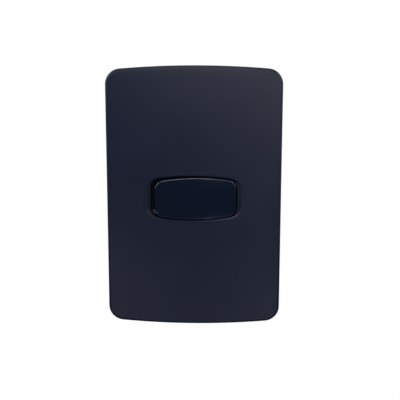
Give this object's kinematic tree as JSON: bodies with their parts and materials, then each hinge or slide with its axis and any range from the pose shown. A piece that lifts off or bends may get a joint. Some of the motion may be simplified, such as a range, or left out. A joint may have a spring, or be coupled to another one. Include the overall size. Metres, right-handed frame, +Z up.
{
  "type": "rocker wall switch",
  "caption": "Wall switch with an arched dark cover plate and one wide rocker key that turns on an upright axis and flips a spring-loaded see-saw contact.",
  "frame": {"origin": "centre of the flat back rim of the cover plate, on the wall plane", "axes": "+X to the right seen from the front, +Y into the wall, +Z up; the front faces -Y"},
  "size_m": [0.08, 0.0377, 0.12],
  "materials": {
    "plate": "satin",
    "key": "gloss",
    "frame": "matte",
    "cover_housing": "gloss",
    "base_housing": "matte",
    "cradle": "matte",
    "nylon": "satin",
    "steel": "zinc plated",
    "brass": "satin",
    "silver": "satin silver"
  },
  "bodies": {
    "housing": {"face_plate": "plate", "mounting_frame": "frame", "box_screw_top": "steel", "box_screw_bottom": "steel", "module_cover": "cover_housing", "module_base": "base_housing", "housing_screw_a": "steel", "housing_screw_b": "steel", "housing_screw_c": "steel", "housing_screw_d": "steel", "common_terminal": "brass", "load_terminal": "brass", "fixed_contact_tip": "silver", "common_clamp_screw": "steel", "load_clamp_screw": "steel"},
    "rocker": {"rocker_key": "key", "rocker_cradle": "cradle", "plunger_spring": "steel"},
    "plunger": {"plunger": "nylon"},
    "contact": {"rocking_contact": "brass", "moving_contact_tip": "silver"}
  },
  "joints": [
    {"name": "rocker_tilt", "type": "hinge", "parent": "housing", "child": "rocker", "pos_m": [0, 0.0012, 0], "axis": [0, 0, -1], "range_deg": [0, 10]},
    {"name": "contact_tilt", "type": "hinge", "parent": "housing", "child": "contact", "pos_m": [0, 0.01246, 0], "axis": [0, 0, 1], "range_deg": [0, 16]},
    {"name": "plunger_slide", "type": "slide", "parent": "rocker", "child": "plunger", "axis": [0.0872, -0.9962, 0], "range_m": [0, 0.001], "stiffness_N_per_m": 900, "springref_m": -0.003, "deforming": ["plunger_spring"]}
  ],
  "couplings": [
    {"joint": "contact_tilt", "follows": "rocker_tilt", "ratio": 1.6}
  ]
}
